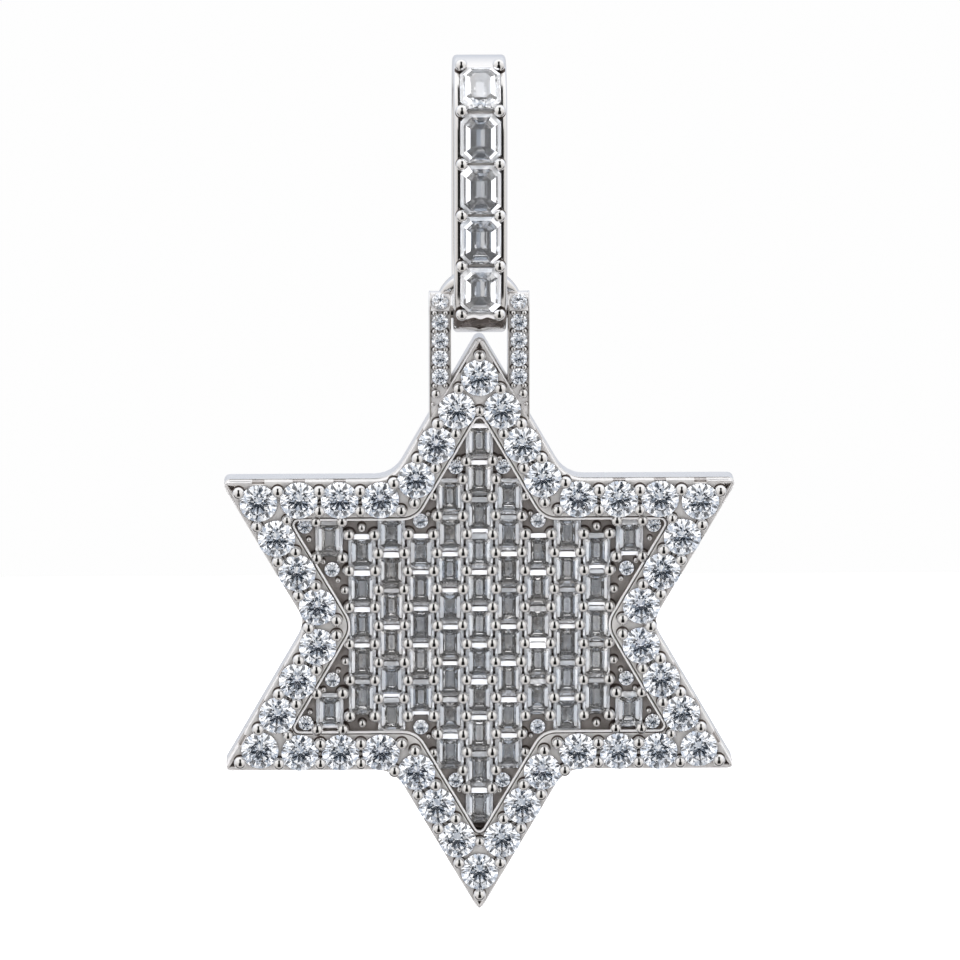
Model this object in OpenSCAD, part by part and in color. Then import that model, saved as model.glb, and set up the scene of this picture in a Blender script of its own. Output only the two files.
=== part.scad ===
// A six-pointed star pendant set with stones, hanging by a pin from a tall oval bail.
// The origin is the inner top of the bail's loop, where the chain carries it.
// +Z is up and the front faces -Y.

/* [Bail] */
// Height of the loop over its outer faces
bail_h = 21.65; // [21.5:0.05:21.8]
// Depth of the loop from front to back
bail_d = 12; // [11.8:0.1:12.2]
// Outer radius of the loop's two round ends
bail_end_r = 5.75; // [5.6:0.01:5.8]
// Width of the band
bail_w = 4.1; // [4:0.02:4.16]
// Thickness of the band
bail_wall = 1.3; // [1.25:0.05:1.4]
// Depth of the channel that the stones lie in
channel_drop = 0.5; // [0.4:0.05:0.55]
// Width of that channel
channel_w = 3.2; // [3.16:0.02:3.24]
// Distance along the band from its top to the first pair of prongs
first_row = 2.7; // [2.6:0.05:2.8]
// Distance between pairs of prongs
row_pitch = 3.97; // [3.95:0.01:4]

/* [Bail stones] */
// Width of an emerald-cut stone
emerald_w = 3; // [2.9:0.02:3.04]
// Length of an emerald-cut stone
emerald_l = 3.7; // [3.6:0.02:3.72]

/* [Hinge] */
// Radius of the pin
pin_r = 0.5; // [0.45:0.01:0.55]
// Distance from the pin's axis to the bottom of the bail
foot_r = 1.5; // [1.45:0.05:1.6]
// Distance from the pin's axis to the bail's inner floor
foot_rise = 0.75; // [0.7:0.01:0.8]
// Distance from the pin's axis down to the star's centre
star_hang = 24.8; // [24.75:0.01:24.9]

/* [Ears] */
// Distance from the middle to an ear's inner face
ear_in = 2.2; // [2.18:0.01:2.24]
// Distance from the middle to an ear's outer face
ear_out = 3.9; // [3.86:0.01:3.94]
// Outer radius of the arch that joins the ears through the bail
arch_r = 3.45; // [3.4:0.01:3.5]
// Thickness of the arch
arch_t = 0.95; // [0.9:0.01:0.96]
// Depth of the arch from front to back
arch_d = 2; // [1.8:0.05:2.1]
// Diameter of an ear's small round stones
ear_stone_d = 1.28; // [1.2:0.01:1.3]
// Distance between the ear's stones
ear_pitch = 1.44; // [1.43:0.01:1.46]

/* [Star] */
// Thickness of the star from front to back
star_t = 2.6; // [2.5:0.05:2.65]
// Distance from the star's centre to the corner of the line that the border stones follow
tip_reach = 20.2; // [20.15:0.01:20.25]
// Distance from the star's centre to the middle of a tip stone
tip_stone = 19.87; // [19.85:0.01:19.9]
// Metal outside that line
outer_margin = 1.52; // [1.5:0.01:1.6]
// Metal inside that line, as far as the sunk field
inner_margin = 1.37; // [1.36:0.01:1.4]
// Radius in the six outer notches
notch_r = 2.5; // [2:0.1:2.8]
// Radius of the star's tips
tip_r = 0.5; // [0.4:0.05:0.6]
// Radius in the tips of the sunk field
pocket_tip_r = 0.6; // [0.5:0.05:0.7]
// Radius between the tips of the sunk field
pocket_notch_r = 1.7; // [1.5:0.1:1.9]
// Depth of the sunk field below the border's face
field_drop = 0.75; // [0.7:0.01:0.8]
// Thickness of the field's plate
plate_t = 1.15; // [1.1:0.05:1.2]

/* [Border stones] */
// Diameter of a border brilliant
border_d = 2.9; // [2.86:0.01:2.92]
// Distance along the line from its corner to the first border stone
border_first = 3.43; // [3.42:0.01:3.44]
// Distance between neighbouring border stones
border_pitch = 3.175; // [3.17:0.005:3.18]
// Height of a border stone's girdle above the metal
border_lift = 0.2; // [0.18:0.01:0.22]
// Distance from the line of stones to the prongs outside it
prong_out = 0.83; // [0.82:0.01:0.84]
// Distance from that line to the prongs inside it
prong_in = 0.74; // [0.74:0.01:0.75]
// Radius of a border prong's ball
ball_r = 0.43; // [0.41:0.01:0.44]

/* [Field stones] */
// Width of a baguette
baguette_w = 2.06; // [2:0.01:2.08]
// Length of a baguette
baguette_l = 2.6; // [2.5:0.01:2.62]
// Distance between columns of baguettes
column_pitch = 2.29; // [2.28:0.01:2.3]
// Distance between baguettes in a column
baguette_pitch = 2.93; // [2.9:0.01:2.94]
// Height of a field stone's girdle above the plate
field_lift = 0.18; // [0.17:0.01:0.19]
// Diameter of a small round stone in the field
accent_d = 1.16; // [1.1:0.01:1.18]
// Radius of a field prong's ball
bead_r = 0.38; // [0.36:0.01:0.39]

/* [Hidden] */

$fn = 48;
slit = 0.05;                 // running clearance round the pin
over = 1;                    // how far a cutter runs past what it cuts
corner_steps = 6;            // straight steps in a rounded corner

metal = "gainsboro";
stone = "lightcyan";

/* Places along Z */
bail_mid = bail_wall - bail_h / 2;
pin_z = bail_wall - bail_h + foot_r;
star_z = pin_z - star_hang;

/* Depths, from the star's middle */
face_y = -star_t / 2;
plate_y = face_y + field_drop;

/* The bail's side outline is four arcs: two ends and two long sides that meet them smoothly */
half_d = bail_d / 2;
half_h = bail_h / 2;
end_z = half_h - bail_end_r;
side_r = (pow(end_z, 2) + pow(half_d, 2) - pow(bail_end_r, 2)) / (2 * (half_d - bail_end_r));
side_a = asin(end_z / (side_r - bail_end_r));
end_len = bail_end_r * (90 - side_a) * PI / 180;
side_len = side_r * 2 * side_a * PI / 180;

emerald_cut = 0.5;           // the stone's cut corners
emerald_prong = 1.46;        // from the middle to a prong
emerald_stem = 0.26;
emerald_ball = 0.42;         // height of its ball's centre

/* The tilt of the band's front, in degrees above level, at a length along it from its top */
function bail_tilt(s) =
    s < end_len ? 90 - s / bail_end_r * 180 / PI
    : s < end_len + side_len ? side_a - (s - end_len) / side_r * 180 / PI
    : -side_a - (s - end_len - side_len) / bail_end_r * 180 / PI;

/* The point of the outer outline, as [y, z], where the band's front has that tilt */
function bail_point(a) =
    abs(a) > side_a ? [-bail_end_r * cos(a), sign(a) * end_z + bail_end_r * sin(a)]
    : [side_r - half_d - side_r * cos(a), side_r * sin(a)];

/* Border: the stones' places along one half of an edge, from the tip */
border_path = [for (i = [0:2]) border_first + i * border_pitch];
edge_dir = [sin(30), -cos(30)];
edge_out = [cos(30), sin(30)];
function on_edge(s, side = 0) = [0, tip_reach] + s * edge_dir + side * edge_out;
tip_ball = 1.79;             // from the tip stone outward
crotch_ball = 2.55;          // from the tip stone inward
first_prong = 1.78;          // along the line from its corner
crotch_stem_r = 0.14;        // there is little room for that one
crotch_ball_r = 0.38;
crotch_lift = 0.4;
notch_in = [11.17, 0.6];    // from the centre along the notch, and to each side
notch_out = 13.35;
border_prongs = concat(
    [[0, tip_stone + tip_ball]],
    [for (m = [-1, 1], p = [
        on_edge(first_prong, prong_out),
        on_edge((border_path[0] + border_path[1]) / 2, prong_out),
        on_edge((border_path[1] + border_path[2]) / 2, prong_out),
        on_edge((border_path[0] + border_path[1]) / 2, -prong_in),
        on_edge((border_path[1] + border_path[2]) / 2, -prong_in),
        notch_in[0] * [sin(30), cos(30)] + notch_in[1] * [-cos(30), sin(30)]
    ]) [m * p[0], p[1]]],
    [notch_out * [sin(30), cos(30)]]
);
stem_r = 0.27;               // a border prong's stem
ball_lift = 0.37;            // its ball's centre above the girdle

/* Sharp tips of the star's outline, of its sunk field */
outline_tip = tip_reach + 2 * outer_margin;
pocket_tip = tip_reach - 2 * inner_margin;

/* Field: the number of baguettes in each column, from the middle column outward */
column_count = [11, 8, 5, 6, 5];
side_column = 11.72;         // the last column holds two stones only
side_row = 6.92;
baguette_places = concat(
    [for (c = [-4:4], n = column_count[abs(c)], i = [0:n - 1])
        [c * column_pitch, (i - (n - 1) / 2) * baguette_pitch]],
    [for (x = [-1, 1], z = [-1, 1]) [x * side_column, z * side_row]]
);
accent_quarter = [[1.85, 12.62], [4.58, 8.3], [13.6, 7.92], [11.5, 4.44]];
accent_places = [for (x = [-1, 1], z = [-1, 1], p = accent_quarter) [x * p[0], z * p[1]]];

/* A bead stands at each corner where two baguettes of a column meet, as far as it has room */
bead_side = 1;
bead_stem_r = 0.17;
bead_lift = 0.34;
function in_triangle(p, way, reach) =
    max([for (a = [0:120:240]) p[0] * sin(a + way) - p[1] * cos(a + way)]) < reach;
function in_star(p, reach) = in_triangle(p, 0, reach) || in_triangle(p, 180, reach);
bead_places = [
    for (p = concat(
        [for (c = [-4:4], n = column_count[abs(c)], i = [0:n], m = [-1, 1])
            [c * column_pitch + m * bead_side, (i - n / 2) * baguette_pitch]],
        [for (x = [-1, 1], z = [-1, 1], m = [-1, 1], n = [-1, 1])
            [x * side_column + m * bead_side, z * side_row + n * baguette_pitch / 2]]
    )) if (in_star(p, pocket_tip / 2 - bead_side / 4)) p
];
/* Smaller beads fill the corners that are left: across, up, radius */
corner_quarter = [
    [9.16, 7.9, 0.34], [10.5, 2.84, 0.34], [3.58, 10.29, 0.36], [12.2, 5.15, 0.2], [11.05, 3.65, 0.2],
    [13.3, 6.95, 0.2], [4, 8.95, 0.18], [1.6, 13.35, 0.2]
];
corner_beads = [for (x = [-1, 1], z = [-1, 1], p = corner_quarter) [x * p[0], z * p[1], p[2]]];

/* Ears: five stones, the top one on the round over the pin */
ear_mid = (ear_in + ear_out) / 2;
ear_r = star_t / 2;
ear_top = star_hang + 0.35;  // the centre of the ear's round top
ear_foot = 15.9;
ear_turn = 31;               // the top stone's tilt
ear_rows = [for (i = [0:3]) star_hang - 0.54 - i * ear_pitch];
grain_side = 0.42;           // from an ear's middle to its grains
grain_r = 0.2;

/* Cut proportions */
table_ratio = 0.57;
crown_slope = 34;
pavilion_slope = 40.75;
girdle_t = 0.05;
step_slope = 38;
first_step_slope = 52;
last_step_slope = 20;

/* Lays out a star's points from its centre, between sharp tips of that reach, with rounded corners */
function rounded(a, v, b, r) =
    let (ua = (a - v) / norm(a - v), ub = (b - v) / norm(b - v),
         half = acos(ua * ub) / 2,
         c = v + (ua + ub) / norm(ua + ub) * r / sin(half),
         p = v + ua * r / tan(half) - c, q = v + ub * r / tan(half) - c,
         turn = atan2(cross(p, q), p * q))
    [for (i = [0:corner_steps])
        let (t = turn * i / corner_steps) c + [p[0] * cos(t) - p[1] * sin(t), p[0] * sin(t) + p[1] * cos(t)]];
function star_corner(i, tip) =
    let (reach = i % 2 == 0 ? tip : tip / sqrt(3)) reach * [sin(30 * i), cos(30 * i)];
function star_points(tip, tip_round, notch_round) = [
    for (i = [0:11])
        each rounded(star_corner(i + 11, tip), star_corner(i, tip), star_corner(i + 1, tip),
                     i % 2 == 0 ? tip_round : notch_round)
];

module along_y(y, h) {
    translate([0, y, 0]) rotate([90, 0, 0]) mirror([0, 0, 1]) linear_extrude(h) children();
}

module along_x(w) {
    rotate([90, 0, 90]) linear_extrude(w, center = true) children();
}

module at_star() {
    translate([0, 0, star_z]) children();
}

module at_pin() {
    translate([0, 0, pin_z]) children();
}

/* A cone-shaped seat that opens to the front */
module round_seat(d, lift) {
    top_r = d / 2 - (lift - girdle_t) * 0.9;
    depth = d / 2 * tan(pavilion_slope);
    rotate([90, 0, 0]) translate([0, 0, -depth])
        cylinder(r1 = d / 12, r2 = top_r + over, h = depth + over / (top_r - d / 12) * depth);
}

/* A prong: a stem on the metal with a ball over the edge of the stone */
module prong(stem, ball, height, root = 0.3) {
    rotate([90, 0, 0]) {
        translate([0, 0, -root]) cylinder(r = stem, h = height + root);
        translate([0, 0, height]) sphere(r = ball);
    }
}

/* Faces between two rings of n points, the first one nearer the front */
function band(a, b, n) = [for (i = [0:n - 1]) [a + i, a + (i + 1) % n, b + (i + 1) % n, b + i]];
function ring(r, y, n, turn = 0) =
    [for (i = [0:n - 1]) let (t = turn + 360 * i / n) [r * cos(t), y, r * sin(t)]];

/* A round brilliant: an eight-sided table, a crown of kites, a girdle and a pavilion */
module brilliant(d) {
    r = d / 2;
    crown = r * (1 - table_ratio) * tan(crown_slope);
    deep = r * tan(pavilion_slope);
    polyhedron(
        points = concat(ring(r * table_ratio, -crown - girdle_t / 2, 8),
                        ring(r, -girdle_t / 2, 16), ring(r, girdle_t / 2, 16),
                        [[0, girdle_t / 2 + deep, 0]]),
        faces = concat([[7, 6, 5, 4, 3, 2, 1, 0]],
                       [for (k = [0:7]) each [
                           [k, 9 + 2 * k, 8 + 2 * k],
                           [k, (k + 1) % 8, 9 + 2 * k],
                           [(k + 1) % 8, 8 + (2 * k + 2) % 16, 9 + 2 * k]
                       ]],
                       band(8, 24, 16),
                       [for (i = [0:15]) [24 + i, 24 + (i + 1) % 16, 40]])
    );
}

/* A small round stone with eight crown and eight pavilion facets */
module single_cut(d) {
    r = d / 2;
    crown = r * (1 - table_ratio) * tan(crown_slope);
    deep = r * tan(pavilion_slope);
    polyhedron(
        points = concat(ring(r * table_ratio, -crown - girdle_t / 2, 8, 22.5),
                        ring(r, -girdle_t / 2, 8, 22.5), ring(r, girdle_t / 2, 8, 22.5),
                        [[0, girdle_t / 2 + deep, 0]]),
        faces = concat([[7, 6, 5, 4, 3, 2, 1, 0]], band(0, 8, 8), band(8, 16, 8),
                       [for (i = [0:7]) [16 + i, 16 + (i + 1) % 8, 24]])
    );
}

/* A rectangle with cut corners, inset all round */
function cut_corner(w, l, cut, inset, y) =
    let (x = w / 2 - inset, z = l / 2 - inset, c = cut * (1 - inset / w))
    [[x, y, c - z], [x, y, z - c], [x - c, y, z], [c - x, y, z],
     [-x, y, z - c], [-x, y, c - z], [c - x, y, -z], [x - c, y, -z]];

/* A step cut: a table, a crown in two steps or one, a girdle, a pavilion step and a keel */
module step_cut(w, l, cut, crown, table_inset, two_steps = false) {
    step = w * 0.17;
    keel_in = w / 2 - step;
    step_y = girdle_t / 2 + step * tan(first_step_slope);
    keel_y = step_y + keel_in * tan(last_step_slope);
    keel_l = l / 2 - w / 2 + step * 0.5;
    rings = concat(
        [cut_corner(w, l, cut, table_inset, -girdle_t / 2 - crown)],
        two_steps ? [cut_corner(w, l, cut, table_inset * 0.45, -girdle_t / 2 - crown * 0.62)] : [],
        [cut_corner(w, l, cut, 0, -girdle_t / 2), cut_corner(w, l, cut, 0, girdle_t / 2),
         cut_corner(w, l, cut, step, step_y)]
    );
    last = 8 * (len(rings) - 1);
    top = last + 8;
    low = last + 9;
    polyhedron(
        points = concat([for (r = rings) each r], [[0, keel_y, keel_l], [0, keel_y, -keel_l]]),
        faces = concat([[7, 6, 5, 4, 3, 2, 1, 0]],
                       [for (i = [0:len(rings) - 2]) each band(8 * i, 8 * i + 8, 8)],
                       [[last, last + 1, top, low], [last + 1, last + 2, top], [last + 2, last + 3, top],
                        [last + 3, last + 4, top], [last + 4, last + 5, low, top],
                        [last + 5, last + 6, low], [last + 6, last + 7, low], [last + 7, last, low]])
    );
}

/* The bail's side outline, brought in by some distance */
module oval(inset = 0) {
    join_z = end_z + (bail_end_r - inset) * sin(side_a);
    union() {
        intersection() {
            translate([side_r - half_d, 0]) circle(side_r - inset, $fn = 180);
            translate([half_d - side_r, 0]) circle(side_r - inset, $fn = 180);
            square([bail_d + over, 2 * join_z], center = true);
        }
        for (s = [-1, 1]) translate([0, s * end_z]) circle(bail_end_r - inset, $fn = 96);
    }
}

/* The loop seen from its side, with a thick foot round the pin */
module loop_outline() {
    difference() {
        oval();
        intersection() {
            oval(bail_wall);
            translate([-bail_d, foot_r + foot_rise - half_h]) square([2 * bail_d, bail_h]);
        }
    }
}

/* The shallow channel along the front of the loop, between the first and last prongs */
module channel_outline() {
    reach = bail_d;
    ends = [for (s = [first_row, first_row + 5 * row_pitch]) bail_tilt(s)];
    difference() {
        polygon([
            bail_point(ends[0]) + bail_wall * 0.8 * [cos(ends[0]), -sin(ends[0])],
            bail_point(ends[0]) - reach * [cos(ends[0]), -sin(ends[0])],
            bail_point(ends[1]) - reach * [cos(ends[1]), -sin(ends[1])],
            bail_point(ends[1]) + bail_wall * 0.8 * [cos(ends[1]), -sin(ends[1])]
        ]);
        oval(channel_drop);
    }
}

/* Puts what faces the front on the loop's outer surface, at a length along it from its top */
module on_bail(s) {
    a = bail_tilt(s);
    p = bail_point(a);
    translate([0, p[0], bail_mid + p[1]]) rotate([-a, 0, 0]) children();
}

function stone_place(i) = first_row + (i - 0.5) * row_pitch;

module bail_frame() {
    color(metal) difference() {
        union() {
            difference() {
                translate([0, 0, bail_mid]) along_x(bail_w) loop_outline();
                translate([0, 0, bail_mid]) along_x(channel_w) channel_outline();
                for (i = [1:5]) on_bail(stone_place(i)) emerald_seat();
            }
            for (i = [0:5], x = [-1, 1])
                on_bail(first_row + i * row_pitch) translate([x * emerald_prong, 0, 0])
                    prong(emerald_stem, ball_r, emerald_ball, channel_drop + 0.3);
        }
        at_pin() rotate([0, 90, 0]) cylinder(r = pin_r + slit, h = bail_w + over, center = true);
    }
}

/* The opening under an emerald-cut stone, for its pavilion */
module emerald_seat() {
    wide = emerald_w - 2 * 0.36;
    long = emerald_l - 2 * 0.36;
    depth = bail_wall - 0.18;
    translate([-wide / 2, 0, -long / 2]) cube([wide, depth, long]);
}

module bail_stone(i) {
    color(stone) on_bail(stone_place(i))
        step_cut(emerald_w, emerald_l, emerald_cut, 0.42, 0.6, two_steps = true);
}

module hinge_pin() {
    color(metal) at_pin() rotate([0, 90, 0]) cylinder(r = pin_r, h = 2 * ear_out, center = true);
}

/* One ear seen from its side: a strip with a round top */
module ear_outline() {
    translate([-ear_r, ear_foot]) square([2 * ear_r, ear_top - ear_foot]);
    translate([0, ear_top]) circle(ear_r);
}

/* Puts what faces the front at each stone of the ear on one side */
module on_ear(side) {
    for (z = ear_rows) translate([side * ear_mid, -ear_r, z]) children();
    translate([side * ear_mid, 0, ear_top]) rotate([-ear_turn, 0, 0]) translate([0, -ear_r, 0]) children();
}

/* Pairs of small grains between the ear's stones */
module ear_grains(side) {
    for (i = [0:4], x = [-grain_side, grain_side])
        translate([side * ear_mid + x, face_y, ear_rows[0] + (0.5 - i) * ear_pitch]) grain();
}

module grain() {
    rotate([90, 0, 0]) translate([0, 0, -0.1]) cylinder(r = grain_r * 0.8, h = 0.22);
    translate([0, -0.12, 0]) sphere(r = grain_r, $fn = 24);
}

module arch() {
    difference() {
        along_y(-arch_d / 2, arch_d) difference() {
            circle(arch_r, $fn = 96);
            circle(arch_r - arch_t, $fn = 96);
        }
        translate([-arch_r - over, -arch_d, -2 * arch_r]) cube([2 * (arch_r + over), 2 * arch_d, 2 * arch_r]);
    }
}

/* The star's metal without its prongs */
module star_body() {
    difference() {
        union() {
            along_y(face_y, star_t) polygon(star_points(outline_tip, tip_r, notch_r));
            for (x = [-1, 1]) translate([x * ear_mid, 0, 0]) along_x(ear_out - ear_in) ear_outline();
            translate([0, 0, star_hang]) arch();
        }
        along_y(face_y - over, over + field_drop) polygon(star_points(pocket_tip, pocket_tip_r, pocket_notch_r));
        along_y(plate_y + plate_t, star_t) polygon(star_points(pocket_tip, pocket_tip_r, pocket_notch_r));
        for (k = [0:5]) rotate([0, 60 * k, 0]) {
            translate([0, face_y, tip_stone]) round_seat(border_d, border_lift);
            for (m = [-1, 1], s = border_path)
                translate([m * on_edge(s)[0], face_y, on_edge(s)[1]]) round_seat(border_d, border_lift);
        }
        for (p = baguette_places) translate([p[0], plate_y, p[1]]) baguette_seat();
        for (p = accent_places) translate([p[0], plate_y, p[1]]) round_seat(accent_d, field_lift / 2);
        for (side = [-1, 1]) on_ear(side) round_seat(ear_stone_d, field_lift / 2);
    }
}

/* The opening under a baguette, for its pavilion */
module baguette_seat() {
    wide = baguette_w - 2 * 0.1;
    long = baguette_l - 2 * 0.1;
    translate([-wide / 2, -over / 4, -long / 2]) cube([wide, over / 4 + baguette_w * 0.42, long]);
}

module star_frame() {
    color(metal) at_star() difference() {
        union() {
            star_body();
            for (k = [0:5]) rotate([0, 60 * k, 0]) {
                for (p = border_prongs) translate([p[0], face_y, p[1]])
                    prong(stem_r, ball_r, border_lift + ball_lift);
                translate([0, face_y, tip_stone - crotch_ball])
                    prong(crotch_stem_r, crotch_ball_r, border_lift + crotch_lift);
            }
            for (p = bead_places) translate([p[0], plate_y, p[1]])
                prong(bead_stem_r, bead_r, field_lift + bead_lift);
            for (p = corner_beads) translate([p[0], plate_y, p[1]])
                prong(min(bead_stem_r, p[2] * 0.8), p[2], field_lift + bead_lift);
            for (side = [-1, 1]) ear_grains(side);
        }
        translate([0, 0, star_hang]) rotate([0, 90, 0])
            cylinder(r = pin_r + slit / 2, h = 2 * ear_out + over, center = true);
    }
}

module border_stones() {
    color(stone) at_star() for (k = [0:5]) rotate([0, 60 * k, 0]) translate([0, face_y - border_lift, 0]) {
        translate([0, 0, tip_stone]) brilliant(border_d);
        for (m = [-1, 1], s = border_path) translate([m * on_edge(s)[0], 0, on_edge(s)[1]]) brilliant(border_d);
    }
}

module field_baguettes() {
    color(stone) at_star() for (p = baguette_places) translate([p[0], plate_y - field_lift, p[1]])
        step_cut(baguette_w, baguette_l, 0.34, 0.28, 0.42);
}

module field_rounds() {
    color(stone) at_star() for (p = accent_places) translate([p[0], plate_y - field_lift, p[1]])
        single_cut(accent_d);
}

module ear_stones(side) {
    color(stone) at_star() on_ear(side) translate([0, -field_lift / 2, 0]) single_cut(ear_stone_d);
}

bail_frame();
bail_stone(1);  // bail_stone_1
bail_stone(2);  // bail_stone_2
bail_stone(3);  // bail_stone_3
bail_stone(4);  // bail_stone_4
bail_stone(5);  // bail_stone_5
hinge_pin();
star_frame();
border_stones();
field_baguettes();
field_rounds();
ear_stones(-1);  // ear_stones_left
ear_stones(1);  // ear_stones_right
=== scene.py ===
import bpy, bmesh, math, random
from mathutils import Matrix, Vector
from mathutils.geometry import delaunay_2d_cdt


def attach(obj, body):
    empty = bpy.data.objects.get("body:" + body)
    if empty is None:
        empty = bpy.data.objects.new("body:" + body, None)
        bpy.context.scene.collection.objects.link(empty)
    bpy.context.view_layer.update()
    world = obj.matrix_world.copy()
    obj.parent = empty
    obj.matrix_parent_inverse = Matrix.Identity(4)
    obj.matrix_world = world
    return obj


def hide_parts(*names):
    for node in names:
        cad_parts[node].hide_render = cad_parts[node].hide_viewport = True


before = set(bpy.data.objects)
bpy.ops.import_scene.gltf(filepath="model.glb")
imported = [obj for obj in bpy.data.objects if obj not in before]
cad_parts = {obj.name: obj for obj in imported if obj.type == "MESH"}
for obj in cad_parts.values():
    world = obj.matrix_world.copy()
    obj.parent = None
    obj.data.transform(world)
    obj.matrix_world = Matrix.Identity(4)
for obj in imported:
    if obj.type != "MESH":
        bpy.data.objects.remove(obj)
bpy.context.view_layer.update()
print("frame loaded:", len(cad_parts), "nodes")

random.seed(7)
mm = 0.001
cos30 = math.cos(math.radians(30))

# sizes shared with the frame, in millimetres, depths from the star's middle plane
plan = {
    "pinZ": -18.85,
    "starZ": -43.65,
    "face": -1.3,         # the border's front
    "back": 1.3,
    "plate": -0.55,       # the sunk field's front
    "plateBack": 0.6,
    "tipReach": 20.2,     # corner of the line that the border stones follow
    "tipStone": 19.87,    # the stone in each tip
    "outerMargin": 1.52,  # from that line out to the edge, and in to the pocket
    "innerMargin": 1.37,
    "borderSpots": [3.43, 6.605, 9.78],   # the other stones along that line, from its corner
    "borderSide": 0.05,   # and how far outside it
}
starMid = Vector((0, 0, plan["starZ"]))


def newShape():
    # a mark is the name of the finish that a face has
    return {"points": [], "faces": [], "marks": []}


def put(shape, points, faces, place=None, mark=None):
    base = len(shape["points"])
    shape["points"] += [tuple(place @ Vector(p)) if place else tuple(p) for p in points]
    shape["faces"] += [tuple(base + i for i in f) for f in faces]
    shape["marks"] += [mark] * len(faces)


def spun(p, angle):
    c, s = math.cos(angle), math.sin(angle)
    return (p[0] * c - p[1] * s, p[0] * s + p[1] * c)


def quarter(r, steps):
    # a rounded rim from its side to its face: how far in and how far down
    bends = [math.pi / 2 * k / steps for k in range(steps + 1)]
    return [(r * (1 - math.cos(t)), r * (1 - math.sin(t))) for t in bends]


def ringFaces(a, b, n):
    # the band between two rings of n points that start at a and b
    return [(a + i, a + (i + 1) % n, b + (i + 1) % n, b + i) for i in range(n)]


def circleLoop(cx, cz, r, sides=32):
    turns = [2 * math.pi * i / sides for i in range(sides)]
    return [(cx + r * math.cos(t), cz + r * math.sin(t)) for t in turns]


def boxLoop(cx, cz, w, h, angle=0.0):
    x, z = w / 2, h / 2
    corners = [spun(p, angle) for p in ((-x, -z), (x, -z), (x, z), (-x, z))]
    return [(cx + px, cz + pz) for px, pz in corners]


def insetLoop(loop, d):
    # the loop drawn in by d, to the left of its direction
    out = []
    for i, b in enumerate(loop):
        a, c = loop[i - 1], loop[(i + 1) % len(loop)]
        u = Vector((b[0] - a[0], b[1] - a[1])).normalized()
        v = Vector((c[0] - b[0], c[1] - b[1])).normalized()
        n1, n2 = Vector((-u.y, u.x)), Vector((-v.y, v.x))
        m = (n1 + n2) / max(0.5, 1 + n1.dot(n2)) * d
        out.append((b[0] + m.x, b[1] + m.y))
    return out


def turned(loop, wantCcw=True):
    # the same loop, listed against the clock or with it
    area = sum(loop[i - 1][0] * p[1] - p[0] * loop[i - 1][1] for i, p in enumerate(loop))
    return list(loop) if (area > 0) == wantCcw else list(reversed(loop))


def slab(shape, outer, holes, front, back, edge=0.08, steps=3, backEdge=0.0, place=None, mark=None):
    # a flat plate in X and Z with rounded rims, its front at the smaller Y
    rows = []
    for loop in [turned(outer)] + [turned(h, False) for h in holes]:
        stack = [(insetLoop(loop, a), front + b) for a, b in reversed(quarter(edge, steps))]
        if backEdge:
            stack += [(insetLoop(loop, a), back - b) for a, b in quarter(backEdge, steps)]
        else:
            stack.append((loop, back))
        rows.append(stack)
    points, faces, tops, bottoms = [], [], [], []
    for stack in rows:
        n = len(stack[0][0])
        starts = []
        for ring, y in stack:
            starts.append(len(points))
            points += [(x, y, z) for x, z in ring]
        for a, b in zip(starts, starts[1:]):
            faces += ringFaces(a, b, n)
        tops.append(range(starts[0], starts[0] + n))
        bottoms.append(range(starts[-1], starts[-1] + n))
    # front and back are filled round their holes
    for ends in (tops, bottoms):
        flat = [i for r in ends for i in r]
        starts = [sum(len(r) for r in ends[:k]) for k in range(len(ends))]
        loops = [[at + i for i in range(len(r))] for at, r in zip(starts, ends)]
        flatPoints = [Vector((points[i][0], points[i][2])) for i in flat]
        spots, _, fill, same, _, _ = delaunay_2d_cdt(flatPoints, [], loops, 2, 1e-5)
        known = []
        for spot, old in zip(spots, same):
            if old:
                known.append(flat[old[0]])
            else:
                known.append(len(points))
                points.append((spot.x, points[flat[0]][1], spot.y))
        faces += [tuple(known[i] for i in t) for t in fill]
    put(shape, points, faces, place, mark)


def peg(shape, place, radius, high, root, sides, mark=None):
    # a round peg from `high` before the place's origin to `root` behind it
    ring = circleLoop(0, 0, radius, sides)
    points = [(x, -high, z) for x, z in ring] + [(x, root, z) for x, z in ring]
    ends = [tuple(range(sides)), tuple(range(2 * sides - 1, sides - 1, -1))]
    put(shape, points, ringFaces(0, sides, sides) + ends, place, mark)


def shadowRing(shape, place, radius, high=0.03, root=0.25):
    # painted shadow: a flat dark ring that a prong's ball stands over
    peg(shape, place, radius, high, root, 24, "groove")


def ballOnStem(shape, place, radius, stem, height, root=0.3, sides=20, rings=11):
    # the ball's centre is `height` in front of the origin of `place`
    points, faces = [], []
    for j in range(1, rings):
        t = math.pi * j / rings
        ring = circleLoop(0, 0, radius * math.sin(t), sides)
        points += [(x, -height - radius * math.cos(t), z) for x, z in ring]
    for j in range(rings - 2):
        faces += ringFaces(j * sides, (j + 1) * sides, sides)
    tip, last = len(points), (rings - 2) * sides
    points += [(0, -height - radius, 0), (0, -height + radius, 0)]
    faces += [((i + 1) % sides, i, tip) for i in range(sides)]
    faces += [(last + i, last + (i + 1) % sides, tip + 1) for i in range(sides)]
    put(shape, points, faces, place)
    peg(shape, place, stem, height, root, 12)


looks = {}


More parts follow.
